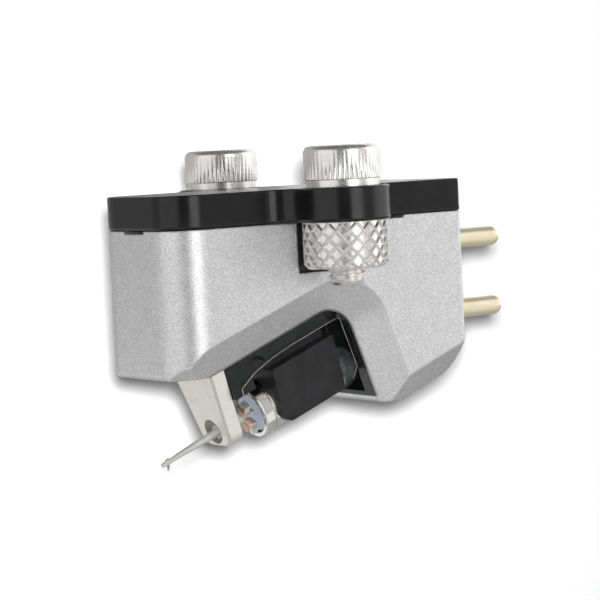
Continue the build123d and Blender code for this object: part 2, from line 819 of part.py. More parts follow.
export_step(cantilever.part, "parts/cantilever.step")

# Diamond stylus, upright in the flattened end
with BuildPart() as stylus:
    with BuildSketch(Plane(origin=generator_point(0, stylus_back, 0)).offset(stylus_shank_rise)):
        Circle(stylus_shank_radius)
    extrude(amount=-(stylus_shank_rise + stylus_shank_drop))
    with BuildSketch(Plane(origin=generator_point(0, stylus_back, 0)).offset(-stylus_shank_drop)):
        Circle(stylus_shank_radius)
    with BuildSketch(Plane(origin=generator_point(0, stylus_back, 0)).offset(-stylus_reach)):
        Circle(stylus_tip_radius)
    loft()
stylus.part.label = "stylus"
export_step(stylus.part, "parts/stylus.step")

# Coil leads from the armature to the pin tails, two on each side
with BuildPart() as lead_upper_left:
    with BuildLine() as upper_left_path:
        FilletPolyline(*upper_lead_route(1), radius=lead_bend)
    with BuildSketch(Plane(origin=upper_left_path.line @ 0, z_dir=upper_left_path.line % 0)):
        Circle(lead_radius)
    sweep()
lead_upper_left.part.label = "lead_upper_left"
export_step(lead_upper_left.part, "parts/lead_upper_left.step")

with BuildPart() as lead_lower_left:
    with BuildLine() as lower_left_path:
        FilletPolyline(*lower_lead_route(1), radius=lead_bend)
    with BuildSketch(Plane(origin=lower_left_path.line @ 0, z_dir=lower_left_path.line % 0)):
        Circle(lead_radius)
    sweep()
lead_lower_left.part.label = "lead_lower_left"
export_step(lead_lower_left.part, "parts/lead_lower_left.step")

with BuildPart() as lead_upper_right:
    with BuildLine() as upper_right_path:
        FilletPolyline(*upper_lead_route(-1), radius=lead_bend)
    with BuildSketch(Plane(origin=upper_right_path.line @ 0, z_dir=upper_right_path.line % 0)):
        Circle(lead_radius)
    sweep()
lead_upper_right.part.label = "lead_upper_right"
export_step(lead_upper_right.part, "parts/lead_upper_right.step")

with BuildPart() as lead_lower_right:
    with BuildLine() as lower_right_path:
        FilletPolyline(*lower_lead_route(-1), radius=lead_bend)
    with BuildSketch(Plane(origin=lower_right_path.line @ 0, z_dir=lower_right_path.line % 0)):
        Circle(lead_radius)
    sweep()
lead_lower_right.part.label = "lead_lower_right"
export_step(lead_lower_right.part, "parts/lead_lower_right.step")
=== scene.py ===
import bpy
import bmesh
import json
from math import cos, pi, radians, sin, tau
from mathutils import Matrix, Vector


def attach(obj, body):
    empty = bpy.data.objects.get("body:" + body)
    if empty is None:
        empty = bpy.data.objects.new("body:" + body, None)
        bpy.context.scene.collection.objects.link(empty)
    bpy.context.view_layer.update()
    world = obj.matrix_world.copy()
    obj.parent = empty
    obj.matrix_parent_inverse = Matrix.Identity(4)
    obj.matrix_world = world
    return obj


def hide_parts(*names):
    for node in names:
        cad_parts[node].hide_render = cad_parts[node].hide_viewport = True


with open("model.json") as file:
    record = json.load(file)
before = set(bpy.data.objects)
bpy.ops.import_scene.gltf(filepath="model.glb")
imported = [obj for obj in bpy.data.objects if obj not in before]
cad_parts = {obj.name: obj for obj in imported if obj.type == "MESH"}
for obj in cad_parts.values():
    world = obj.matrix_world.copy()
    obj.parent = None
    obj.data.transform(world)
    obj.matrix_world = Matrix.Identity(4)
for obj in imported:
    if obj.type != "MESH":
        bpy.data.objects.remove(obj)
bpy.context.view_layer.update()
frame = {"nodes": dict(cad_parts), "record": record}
millimetre = 0.001
print("frame loaded:", len(frame["nodes"]), "nodes")


# helpers for node trees
def calc(tree, operation, *values):
    # one Math node; a value is a number or the socket of another node
    node = tree.nodes.new("ShaderNodeMath")
    node.operation = operation
    for place, value in enumerate(values):
        if isinstance(value, (int, float)):
            node.inputs[place].default_value = value
        else:
            tree.links.new(value, node.inputs[place])
    return node.outputs[0]


def feed(tree, node, name, value):
    # a number or colour goes on the socket itself, a socket is linked
    if isinstance(value, bpy.types.NodeSocket):
        tree.links.new(value, node.inputs[name])
    else:
        node.inputs[name].default_value = value


def emptyTree(owner):
    # the cleared node tree of a material or a world
    owner.use_nodes = True
    owner.node_tree.nodes.clear()
    return owner.node_tree


def newFinish(name):
    finish = bpy.data.materials.new(name)
    tree = emptyTree(finish)
    shader = tree.nodes.new("ShaderNodeBsdfPrincipled")
    output = tree.nodes.new("ShaderNodeOutputMaterial")
    tree.links.new(shader.outputs[0], output.inputs["Surface"])
    place = tree.nodes.new("ShaderNodeTexCoord").outputs["Object"]
    return finish, tree, shader, place


def stretched(tree, place, scale):
    node = tree.nodes.new("ShaderNodeMapping")
    tree.links.new(place, node.inputs["Vector"])
    node.inputs["Scale"].default_value = scale
    return node.outputs[0]


def grain(tree, place, size, detail=2.0, roughness=0.5):
    # noise whose lumps are about size millimetres across
    node = tree.nodes.new("ShaderNodeTexNoise")
    tree.links.new(place, node.inputs["Vector"])
    node.inputs["Scale"].default_value = 1 / (size * millimetre)
    node.inputs["Detail"].default_value = detail
    node.inputs["Roughness"].default_value = roughness
    return node.outputs[0]


def flakes(tree, place, size):
    # a random grey for each cell about size millimetres across
    node = tree.nodes.new("ShaderNodeTexVoronoi")
    tree.links.new(place, node.inputs["Vector"])
    node.inputs["Scale"].default_value = 1 / (size * millimetre)
    split = tree.nodes.new("ShaderNodeSeparateColor")
    tree.links.new(node.outputs["Color"], split.inputs[0])
    return split.outputs[0]


def between(tree, value, lowIn, highIn, lowOut, highOut):
    node = tree.nodes.new("ShaderNodeMapRange")
    tree.links.new(value, node.inputs[0])
    for place, number in enumerate((lowIn, highIn, lowOut, highOut)):
        node.inputs[place + 1].default_value = number
    return node.outputs[0]


def tinted(tree, value, stops):
    node = tree.nodes.new("ShaderNodeValToRGB")
    tree.links.new(value, node.inputs[0])
    ramp = node.color_ramp
    while len(ramp.elements) < len(stops):
        ramp.elements.new(1.0)
    for element, (spot, colour) in zip(ramp.elements, stops):
        element.position = spot
        element.color = (*colour, 1)
    return node.outputs[0]


def softEdge(tree, radius):
    # rounds the look of a sharp edge by radius millimetres
    node = tree.nodes.new("ShaderNodeBevel")
    node.samples = 6
    node.inputs["Radius"].default_value = radius * millimetre
    return node.outputs[0]


def relief(tree, height, strength, depth, under=None):
    # depth is in millimetres; under is the normal that the relief lies on
    node = tree.nodes.new("ShaderNodeBump")
    node.inputs["Strength"].default_value = strength
    node.inputs["Distance"].default_value = depth * millimetre
    tree.links.new(height, node.inputs["Height"])
    if under is not None:
        tree.links.new(under, node.inputs["Normal"])
    return node.outputs[0]


def seenRay(tree):
    # 1 where a thing is seen directly, in a reflection or through glass, 0 where it only gives light
    path = tree.nodes.new("ShaderNodeLightPath").outputs
    indirect = calc(tree, "MAXIMUM", path["Is Glossy Ray"], path["Is Transmission Ray"])
    return calc(tree, "MAXIMUM", path["Is Camera Ray"], indirect)


# finishes, one for each slot of the record
def blastedSilverFinish():
    finish, tree, shader, place = newFinish("blastedSilver")
    fine = grain(tree, place, 0.09, detail=3.0, roughness=0.7)
    broad = grain(tree, place, 0.9)
    spark = between(tree, flakes(tree, place, 0.07), 0.0, 1.0, -0.17, 0.17)
    drift = between(tree, broad, 0.3, 0.7, -0.03, 0.03)
    tone = calc(tree, "ADD", calc(tree, "ADD", fine, spark), drift)
    stops = (
        (0.25, (0.58, 0.58, 0.59)),
        (0.5, (0.73, 0.73, 0.74)),
        (0.8, (0.92, 0.92, 0.92)),
    )
    feed(tree, shader, "Base Color", tinted(tree, tone, stops))
    feed(tree, shader, "Metallic", 0.95)
    feed(tree, shader, "Roughness", between(tree, fine, 0.3, 0.7, 0.42, 0.34))
    feed(tree, shader, "Normal", relief(tree, fine, 0.42, 0.02, softEdge(tree, 0.2)))
    return finish


def blackGlossFinish():
    finish, tree, shader, place = newFinish("blackGloss")
    smear = grain(tree, place, 1.6, detail=3.0)
    # long level marks break up the edges of the highlights
    marks = grain(tree, stretched(tree, place, (1, 1, 9)), 1.3)
    dust = grain(tree, place, 0.09, detail=1.0)
    stops = ((0.3, (0.0015, 0.0015, 0.0018)), (0.8, (0.005, 0.005, 0.0055)))
    feed(tree, shader, "Base Color", tinted(tree, dust, stops))
    feed(tree, shader, "Specular IOR Level", 0.42)
    feed(tree, shader, "Roughness", between(tree, smear, 0.3, 0.7, 0.16, 0.26))
    feed(tree, shader, "Normal", relief(tree, marks, 0.2, 0.014))
    return finish


def metalFinish(name, dark, light, rough, size=0.25, scratch=0.05, along=(1, 1, 1), pure=1.0):
    # plated or bare metal: a soft change of tone, uneven polish and fine scratches
    finish, tree, shader, place = newFinish(name)
    cloud = grain(tree, place, size * 3)
    lines = grain(tree, stretched(tree, place, along), size * 0.3)
    feed(tree, shader, "Base Color", tinted(tree, cloud, ((0.3, dark), (0.7, light))))
    feed(tree, shader, "Metallic", pure)
    feed(tree, shader, "Roughness", between(tree, lines, 0.3, 0.7, rough * 0.75, rough * 1.3))
    feed(tree, shader, "Normal", relief(tree, lines, scratch, 0.01, softEdge(tree, 0.03)))
    return finish


def plainFinish(name, dark, light, rough, bump=0.1, shine=0.5):
    # moulded or coated surface without metal shine
    finish, tree, shader, place = newFinish(name)
    size = 0.3
    cloud = grain(tree, place, size * 3)
    pores = grain(tree, place, size * 0.3)
    feed(tree, shader, "Base Color", tinted(tree, cloud, ((0.3, dark), (0.7, light))))
    feed(tree, shader, "Specular IOR Level", shine)
    feed(tree, shader, "Roughness", between(tree, pores, 0.3, 0.7, rough * 0.8, rough * 1.2))
    feed(tree, shader, "Normal", relief(tree, pores, bump, 0.01, softEdge(tree, 0.03)))
    return finish


def diamondFinish():
    finish, tree, shader, place = newFinish("diamondTip")
    cloud = grain(tree, place, 0.1, detail=1.0)
    stops = ((0.3, (0.10, 0.09, 0.08)), (0.7, (0.20, 0.18, 0.16)))
    feed(tree, shader, "Base Color", tinted(tree, cloud, stops))
    feed(tree, shader, "Roughness", between(tree, cloud, 0.3, 0.7, 0.03, 0.08))
    feed(tree, shader, "Transmission Weight", 0.25)
    feed(tree, shader, "IOR", 2.4)
    return finish


finishes = {
    "blasted_metal": blastedSilverFinish(),
    "black_gloss": blackGlossFinish(),
    "bright_nickel": metalFinish(
        "brightNickel", (0.88, 0.87, 0.85), (0.96, 0.95, 0.93), 0.3, scratch=0.03),
    "satin_nickel": metalFinish(
        "satinNickel", (0.88, 0.865, 0.825), (0.94, 0.925, 0.88), 0.5, along=(1, 1, 0.15)),
    "black_plastic": plainFinish(
        "blackMoulding", (0.003, 0.0035, 0.0035), (0.007, 0.0075, 0.0075), 0.14),
    "gold": metalFinish(
        "goldPlate", (0.97, 0.85, 0.60), (1.0, 0.92, 0.72), 0.42, along=(1, 0.2, 1)),
    "dark_iron": plainFinish(
        "blackIron", (0.006, 0.006, 0.0065), (0.011, 0.011, 0.012), 0.4, shine=0.27),
    "brass": metalFinish(
        "satinBrass", (0.62, 0.49, 0.25), (0.74, 0.60, 0.33), 0.28),
    "steel": metalFinish(
        "drawnSteel", (0.80, 0.72, 0.68), (0.92, 0.84, 0.80), 0.3, along=(1, 0.3, 0.3)),
    "damper_rubber": plainFinish(
        "damperRubber", (0.21, 0.26, 0.32), (0.28, 0.33, 0.39), 0.5, bump=0.2),
    "copper": metalFinish(
        "copperWire", (0.90, 0.62, 0.49), (0.98, 0.78, 0.65), 0.34, size=0.08),
    "light_metal": metalFinish(
        "lightMetal", (0.46, 0.46, 0.445), (0.58, 0.58, 0.56), 0.55, size=0.12, pure=0.75),
    "diamond": diamondFinish(),
}
# two nodes get a finish apart from their slot: the pole tube is polished smoother, and the rear pole's nickel
# is painted dark as shade
finishesByNode = {
    # painted shade: a dark copy of nickel for the rear pole, standing in for the shade of the pocket round it
    "rear_pole": metalFinish(
        "shadePaintedNickel", (0.06, 0.063, 0.065), (0.22, 0.225, 0.23), 0.25, size=0.2, pure=0.8),
    "pole_tube": metalFinish(
        "polishedNickel", (0.90, 0.89, 0.87), (0.96, 0.95, 0.93), 0.14, scratch=0.02),
}
for part in frame["record"]["subparts"]:
    for materialSlot in frame["nodes"][part["node"]].material_slots:
        materialSlot.material = finishesByNode.get(part["node"], finishes[part["material_slot"]])
print("finishes made:", len(finishes) + len(finishesByNode))


# helpers for the built pieces
def placed(name, data):
    thing = bpy.data.objects.new(name, data)
    bpy.context.scene.collection.objects.link(thing)
    return thing


def newTree(name, size, inputs):
    # a geometry tree with the named sizes as its inputs
    sizes = {label: size[label] for label in inputs}
    tree = bpy.data.node_groups.new(name, "GeometryNodeTree")
    tree.interface.new_socket("Geometry", in_out="OUTPUT", socket_type="NodeSocketGeometry")
    for label, value in sizes.items():
        kind = "NodeSocketInt" if isinstance(value, int) else "NodeSocketFloat"
        tree.interface.new_socket(label, in_out="INPUT", socket_type=kind).default_value = value
    return tree, tree.nodes.new("NodeGroupInput").outputs, sizes


def endTree(tree, geometry, finish):
    realize = tree.nodes.new("GeometryNodeRealizeInstances")
    paint = tree.nodes.new("GeometryNodeSetMaterial")
    paint.inputs["Material"].default_value = finish
    tree.links.new(geometry, realize.inputs[0])
    tree.links.new(realize.outputs[0], paint.inputs["Geometry"])
    tree.links.new(paint.outputs[0], tree.nodes.new("NodeGroupOutput").inputs[0])


def grownMesh(tree, sizes):
    # runs the tree on an empty holder and keeps the plain mesh
    holder = placed("holder", bpy.data.meshes.new("holder"))
    build = holder.modifiers.new("build", "NODES")
    build.node_group = tree
    for item in tree.interface.items_tree:
        if item.in_out == "INPUT":
            build[item.identifier] = sizes[item.name]
    graph = bpy.context.evaluated_depsgraph_get()
    mesh = bpy.data.meshes.new_from_object(holder.evaluated_get(graph))
    bpy.data.objects.remove(holder)
    return mesh


def joinRows(shape, rows):
    # a skin of four-sided faces through closed rows of points
    for lower, upper in zip(rows, rows[1:]):
        for step in range(len(lower)):
            after = (step + 1) % len(lower)
            shape.faces.new((lower[step], lower[after], upper[after], upper[step]))


def turnedRings(shape, rings, segments, centre):
    # a skin turned about an upright line; a ring is its radius, its height and whether it is six-sided
    rows = []
    for radius, height, sixSided in rings:
        row = []
        for step in range(segments):
            angle = tau * step / segments
            reach = radius
            if sixSided:
                reach = radius / cos((angle + pi / 6) % (pi / 3) - pi / 6)
            spot = (centre[0] + reach * cos(angle), centre[1] + reach * sin(angle), height)
            row.append(shape.verts.new(spot))
        rows.append(row)
    joinRows(shape, rows)
    return rows


def capRing(shape, row, height):
    middle = sum((v.co for v in row), Vector()) / len(row)
    tip = shape.verts.new((middle.x, middle.y, height))
    for step, corner in enumerate(row):
        shape.faces.new((corner, row[(step + 1) % len(row)], tip))


def finishedPiece(shape, name, finish, body, sharp=35):
    # points closer than the weld distance become one
    weld = 1e-7
    bmesh.ops.remove_doubles(shape, verts=shape.verts, dist=weld)
    bmesh.ops.recalc_face_normals(shape, faces=shape.faces)
    for face in shape.faces:
        face.material_index = 0
        face.smooth = True
    mesh = bpy.data.meshes.new(name)
    shape.to_mesh(mesh)
    shape.free()
    mesh.set_sharp_from_angle(angle=radians(sharp))
    mesh.materials.clear()
    mesh.materials.append(finish)
    piece = placed(name, mesh)
    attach(piece, body)
    return piece


def wrapSockets(tree, columns, rows, low, high):
    # a sheet of columns x rows to be wrapped round; one more line of points at each end closes it
    sheet = tree.nodes.new("GeometryNodeMeshGrid")
    sheet.inputs["Size X"].default_value = 1.0
    sheet.inputs["Size Y"].default_value = 1.0
    tree.links.new(calc(tree, "ADD", columns, 1), sheet.inputs["Vertices X"])
    tree.links.new(calc(tree, "ADD", rows, 3), sheet.inputs["Vertices Y"])
    split = tree.nodes.new("ShaderNodeSeparateXYZ")
    tree.links.new(tree.nodes.new("GeometryNodeInputPosition").outputs[0], split.inputs[0])
    column = calc(tree, "ROUND", calc(tree, "MULTIPLY", calc(tree, "ADD", split.outputs[0], 0.5), columns))
    lastLine = calc(tree, "ADD", rows, 2)
    line = calc(tree, "ROUND", calc(tree, "MULTIPLY", calc(tree, "ADD", split.outputs[1], 0.5), lastLine))
    row = calc(tree, "MINIMUM", calc(tree, "MAXIMUM", calc(tree, "SUBTRACT", line, 1), 0), rows)
    share = calc(tree, "DIVIDE", row, rows)
    height = calc(tree, "ADD", low, calc(tree, "MULTIPLY", share, calc(tree, "SUBTRACT", high, low)))
    atFirst = calc(tree, "LESS_THAN", line, 0.5)
    atLast = calc(tree, "GREATER_THAN", line, calc(tree, "SUBTRACT", lastLine, 0.5))
    return sheet.outputs[0], column, row, height, calc(tree, "ADD", atFirst, atLast)


def wrapRound(tree, sheet, column, columns, radius, height):
    angle = calc(tree, "MULTIPLY", calc(tree, "DIVIDE", column, columns), tau)
    place = tree.nodes.new("ShaderNodeCombineXYZ")
    tree.links.new(calc(tree, "MULTIPLY", radius, calc(tree, "COSINE", angle)), place.inputs[0])
    tree.links.new(calc(tree, "MULTIPLY", radius, calc(tree, "SINE", angle)), place.inputs[1])
    tree.links.new(height, place.inputs[2])
    move = tree.nodes.new("GeometryNodeSetPosition")
    tree.links.new(sheet, move.inputs["Geometry"])
    tree.links.new(place.outputs[0], move.inputs["Position"])
    return move.outputs[0]


def onBothScrews(tree, geometry, spacing):
    line = tree.nodes.new("GeometryNodeMeshLine")
    line.inputs["Count"].default_value = 2
    start = tree.nodes.new("ShaderNodeCombineXYZ")
    tree.links.new(calc(tree, "MULTIPLY", spacing, -0.5), start.inputs[0])
    tree.links.new(start.outputs[0], line.inputs["Start Location"])
    step = tree.nodes.new("ShaderNodeCombineXYZ")
    tree.links.new(spacing, step.inputs[0])
    tree.links.new(step.outputs[0], line.inputs["Offset"])
    copies = tree.nodes.new("GeometryNodeInstanceOnPoints")
    tree.links.new(line.outputs[0], copies.inputs["Points"])
    tree.links.new(geometry, copies.inputs["Instance"])
    return copies.outputs[0]


# cap screws with straight-knurled heads and a V thread at the end
screwSizes = {
    "spacing": 0.0127, "headRadius": 0.00225, "headTop": 0.00241, "knurlLow": 0.00046, "topEdge": 0.00042,
    "teeth": 47, "facets": 8, "rows": 26, "toothDepth": 0.00009, "toothCurve": 0.8,
    "fadePower": 3.0, "fadePart": 0.88, "keptPart": 0.12,
    "collarRadius": 0.00215, "collarEdge": 0.00004, "seat": -0.00005, "seatEdge": 0.00006,
    "socketFlats": 0.001, "socketDepth": 0.00125, "socketRim": 0.00122, "socketLead": 0.00014,
    "rimWidth": 0.00005, "rimDrop": 0.00003, "drillPoint": 0.0002,
    "threadRadius": 0.0011, "threadRoot": 0.00089, "pitch": 0.0004, "threadTop": -0.0042, "end": -0.0057,
    "threadColumns": 72, "threadRows": 90, "crestWidth": 1.2,
    "endRadius": 0.00082, "endSlope": 1.2, "endInner": 0.6,
}


def straightKnurl(size):
    tree, given, sizes = newTree("straightKnurl", size, (
        "spacing", "headRadius", "headTop", "knurlLow", "topEdge", "teeth", "facets", "rows",
        "toothDepth", "toothCurve", "fadePower", "fadePart", "keptPart",
    ))
    columns = calc(tree, "MULTIPLY", given["teeth"], given["facets"])
    sheet, column, row, height, ends = wrapSockets(
        tree, columns, given["rows"], given["knurlLow"], given["headTop"])
    phase = calc(tree, "MULTIPLY", calc(tree, "DIVIDE", column, given["facets"]), pi)
    wave = calc(tree, "ABSOLUTE", calc(tree, "SINE", phase))
    groove = calc(tree, "SUBTRACT", 1, calc(tree, "POWER", wave, given["toothCurve"]))
    # the grooves get shallower towards the top of the head
    rest = calc(tree, "SUBTRACT", 1, calc(tree, "DIVIDE", row, given["rows"]))
    faded = calc(tree, "MULTIPLY", calc(tree, "POWER", rest, given["fadePower"]), given["fadePart"])
    fade = calc(tree, "ADD", faded, given["keptPart"])
    depth = calc(tree, "MULTIPLY", calc(tree, "MULTIPLY", groove, fade), given["toothDepth"])
    ribbed = calc(tree, "SUBTRACT", given["headRadius"], depth)
    # the rounded top edge cuts across the teeth
    edgeStart = calc(tree, "SUBTRACT", given["headTop"], given["topEdge"])
    above = calc(tree, "MAXIMUM", calc(tree, "SUBTRACT", height, edgeStart), 0)
    square = calc(tree, "SUBTRACT", calc(tree, "POWER", given["topEdge"], 2), calc(tree, "POWER", above, 2))
    inner = calc(tree, "SUBTRACT", given["headRadius"], given["topEdge"])
    rounded = calc(tree, "ADD", inner, calc(tree, "SQRT", calc(tree, "MAXIMUM", square, 0)))
    skin = calc(tree, "MULTIPLY", calc(tree, "MINIMUM", ribbed, rounded), calc(tree, "SUBTRACT", 1, ends))
    radius = calc(tree, "ADD", skin, calc(tree, "MULTIPLY", inner, ends))
    band = wrapRound(tree, sheet, column, columns, radius, height)
    endTree(tree, onBothScrews(tree, band, given["spacing"]), finishes["bright_nickel"])
    return grownMesh(tree, sizes)


def screwThread(size):
    tree, given, sizes = newTree("screwThread", size, (
        "spacing", "threadRadius", "threadRoot", "pitch", "threadTop", "end", "threadColumns", "threadRows",
        "crestWidth", "endRadius", "endSlope", "endInner",
    ))
    columns = given["threadColumns"]
    sheet, column, _, height, ends = wrapSockets(
        tree, columns, given["threadRows"], given["end"], given["threadTop"])
    above = calc(tree, "SUBTRACT", height, given["end"])
    turns = calc(tree, "DIVIDE", above, given["pitch"])
    phase = calc(tree, "FRACT", calc(tree, "SUBTRACT", turns, calc(tree, "DIVIDE", column, columns)))
    fromMiddle = calc(tree, "ABSOLUTE", calc(tree, "SUBTRACT", calc(tree, "MULTIPLY", phase, 2), 1))
    slope = calc(tree, "MULTIPLY", calc(tree, "SUBTRACT", 1, fromMiddle), given["crestWidth"])
    deep = calc(tree, "SUBTRACT", given["threadRadius"], given["threadRoot"])
    raised = calc(tree, "MULTIPLY", calc(tree, "MINIMUM", slope, 1), deep)
    ridge = calc(tree, "ADD", given["threadRoot"], raised)
    # the last turn runs out in a chamfer
    chamfer = calc(tree, "ADD", given["endRadius"], calc(tree, "MULTIPLY", above, given["endSlope"]))
    skin = calc(tree, "MULTIPLY", calc(tree, "MINIMUM", ridge, chamfer), calc(tree, "SUBTRACT", 1, ends))
    inner = calc(tree, "MULTIPLY", given["endRadius"], given["endInner"])
    radius = calc(tree, "ADD", skin, calc(tree, "MULTIPLY", inner, ends))
    band = wrapRound(tree, sheet, column, columns, radius, height)
    endTree(tree, onBothScrews(tree, band, given["spacing"]), finishes["bright_nickel"])
    return grownMesh(tree, sizes)


def capScrews(size):
    shape = bmesh.new()
    shape.from_mesh(straightKnurl(size))
    shape.from_mesh(screwThread(size))
    top = size["headTop"]
    flatRadius = size["headRadius"] - size["topEdge"]
    endInner = size["endRadius"] * size["endInner"]
    for side in (-0.5, 0.5):
        centre = (size["spacing"] * side, 0)
        lid = turnedRings(shape, (
            (flatRadius, top, False),
            (size["socketRim"] + size["rimWidth"], top, False),
            (size["socketRim"], top - size["rimDrop"], False),
            (size["socketFlats"], top - size["socketLead"], True),
            (size["socketFlats"], top - size["socketDepth"], True),
        ), size["teeth"] * size["facets"], centre)
        capRing(shape, lid[-1], top - size["socketDepth"] - size["drillPoint"])
        stem = turnedRings(shape, (
            (flatRadius, size["knurlLow"], False),
            (size["collarRadius"] - size["collarEdge"], size["knurlLow"], False),
            (size["collarRadius"], size["knurlLow"] - size["collarEdge"], False),
            (size["collarRadius"], size["seat"] + size["seatEdge"], False),
            (size["collarRadius"] - size["seatEdge"], size["seat"], False),
            (size["threadRadius"], size["seat"], False),
            (size["threadRadius"], size["threadTop"], False),
            (endInner, size["threadTop"], False),
        ), size["threadColumns"], centre)
        capRing(shape, stem[-1], size["threadTop"])
        tip = turnedRings(shape, ((endInner, size["end"], False),), size["threadColumns"], centre)
        capRing(shape, tip[0], size["end"])
    piece = finishedPiece(shape, "capScrews", finishes["bright_nickel"], "body")
    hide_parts("mounting_screws")


capScrews(screwSizes)
print("cap screws built")


# thumb nuts with raised diamond knurling
nutSizes = {
    "spacing": 0.0127, "radius": 0.0025, "low": -0.0047, "high": -0.002, "lines": 18, "steps": 12, "rows": 37,
    "ridge": 0.00016, "crown": 0.5, "slope": 1.4, "rimChamfer": 0.00025, "innerRadius": 0.0021,
    "bore": 0.00112, "boreTopEdge": 0.0001, "boreLowEdge": 0.00015,
}


def diamondKnurl(size):
    tree, given, sizes = newTree("diamondKnurl", size, (
        "spacing", "radius", "low", "high", "lines", "steps", "rows", "ridge", "crown", "slope",
        "rimChamfer", "innerRadius",
    ))
    columns = calc(tree, "MULTIPLY", given["lines"], given["steps"])
    sheet, column, row, height, ends = wrapSockets(tree, columns, given["rows"], given["low"], given["high"])
    nearest = None
    for hand in ("ADD", "SUBTRACT"):
        crossed = calc(tree, "ADD", calc(tree, hand, column, row), columns)
        turn = calc(tree, "FRACT", calc(tree, "DIVIDE", crossed, given["steps"]))
        toLine = calc(tree, "MINIMUM", turn, calc(tree, "SUBTRACT", 1, turn))
        away = calc(tree, "MULTIPLY", toLine, given["steps"])
        nearest = away if nearest is None else calc(tree, "MINIMUM", nearest, away)
    wall = calc(tree, "DIVIDE", calc(tree, "SUBTRACT", nearest, given["crown"]), given["slope"])
    sunk = calc(tree, "MULTIPLY", calc(tree, "MINIMUM", calc(tree, "MAXIMUM", wall, 0), 1), given["ridge"])
    knurled = calc(tree, "SUBTRACT", given["radius"], sunk)
    rimRadius = calc(tree, "SUBTRACT", given["radius"], given["rimChamfer"])
    rim = calc(tree, "ADD", rimRadius, calc(tree, "SUBTRACT", height, given["low"]))
    skin = calc(tree, "MULTIPLY", calc(tree, "MINIMUM", knurled, rim), calc(tree, "SUBTRACT", 1, ends))
    radius = calc(tree, "ADD", skin, calc(tree, "MULTIPLY", given["innerRadius"], ends))
    band = wrapRound(tree, sheet, column, columns, radius, height)
    cut = tree.nodes.new("GeometryNodeTriangulate")
    cut.quad_method = "SHORTEST_DIAGONAL"
    tree.links.new(band, cut.inputs[0])
    endTree(tree, onBothScrews(tree, cut.outputs[0], given["spacing"]), finishes["bright_nickel"])
    return grownMesh(tree, sizes)


def thumbNuts(size):
    shape = bmesh.new()
    shape.from_mesh(diamondKnurl(size))
    for side in (-0.5, 0.5):
        centre = (size["spacing"] * side, 0)
        turnedRings(shape, (
            (size["innerRadius"], size["high"], False),
            (size["bore"] + size["boreTopEdge"], size["high"], False),
            (size["bore"], size["high"] - size["boreTopEdge"], False),
            (size["bore"], size["low"] + size["boreLowEdge"], False),
            (size["bore"] + size["boreLowEdge"], size["low"], False),
            (size["innerRadius"], size["low"], False),
        ), size["lines"] * size["steps"], centre)
    piece = finishedPiece(shape, "thumbNuts", finishes["bright_nickel"], "body", sharp=20)
    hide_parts("thumb_nuts")


thumbNuts(nutSizes)
print("thumb nuts built")


# coil windings, turn by turn over the four arms
windingSizes = {
    "turns": 14, "inner": 0.00032, "outer": 0.0009, "innerWide": 0.00036, "outerWide": 0.00072,
    "innerDeep": 0.00052, "outerDeep": 0.00062, "wire": 0.000022, "wireSides": 5,
    "corner": 0.00007, "cornerSteps": 3,
    "centre": (0, -0.00363112, -0.01351059), "lean": 21, "armTurns": (45, 135, 225, 315),
}


def windingTurns(size):
    tree, given, sizes = newTree("windingTurns", size, (
        "turns", "inner", "outer", "innerWide", "outerWide", "innerDeep", "outerDeep",
        "wire", "wireSides", "corner", "cornerSteps",
    ))
    arm = tree.nodes.new("GeometryNodeMeshLine")
    tree.links.new(given["turns"], arm.inputs["Count"])
    start = tree.nodes.new("ShaderNodeCombineXYZ")
    tree.links.new(given["inner"], start.inputs[2])
    tree.links.new(start.outputs[0], arm.inputs["Start Location"])
    gap = tree.nodes.new("ShaderNodeCombineXYZ")
    length = calc(tree, "SUBTRACT", given["outer"], given["inner"])
    gaps = calc(tree, "SUBTRACT", given["turns"], 1)
    tree.links.new(calc(tree, "DIVIDE", length, gaps), gap.inputs[2])
    tree.links.new(gap.outputs[0], arm.inputs["Offset"])
    loop = tree.nodes.new("GeometryNodeCurvePrimitiveQuadrilateral")
    tree.links.new(given["outerWide"], loop.inputs["Width"])
    tree.links.new(given["outerDeep"], loop.inputs["Height"])
    bend = tree.nodes.new("GeometryNodeFilletCurve")
    bend.mode = "POLY"
    tree.links.new(loop.outputs[0], bend.inputs["Curve"])
    tree.links.new(given["cornerSteps"], bend.inputs["Count"])
    tree.links.new(given["corner"], bend.inputs["Radius"])
    ring = tree.nodes.new("GeometryNodeCurvePrimitiveCircle")
    tree.links.new(given["wireSides"], ring.inputs["Resolution"])
    tree.links.new(given["wire"], ring.inputs["Radius"])
    sweep = tree.nodes.new("GeometryNodeCurveToMesh")
    tree.links.new(bend.outputs[0], sweep.inputs["Curve"])
    tree.links.new(ring.outputs[0], sweep.inputs["Profile Curve"])
    copies = tree.nodes.new("GeometryNodeInstanceOnPoints")
    tree.links.new(arm.outputs[0], copies.inputs["Points"])
    tree.links.new(sweep.outputs[0], copies.inputs["Instance"])
    # each turn is a little wider than the one nearer the middle
    share = calc(tree, "DIVIDE", tree.nodes.new("GeometryNodeInputIndex").outputs[0], gaps)
    widen = tree.nodes.new("ShaderNodeCombineXYZ")
    for axis, inner, outer in ((0, "innerWide", "outerWide"), (1, "innerDeep", "outerDeep")):
        least = calc(tree, "DIVIDE", given[inner], given[outer])
        rise = calc(tree, "MULTIPLY", share, calc(tree, "SUBTRACT", 1, least))
        tree.links.new(calc(tree, "ADD", least, rise), widen.inputs[axis])
    widen.inputs[2].default_value = 1.0
    tree.links.new(widen.outputs[0], copies.inputs["Scale"])
    endTree(tree, copies.outputs[0], finishes["copper"])
    return grownMesh(tree, sizes)


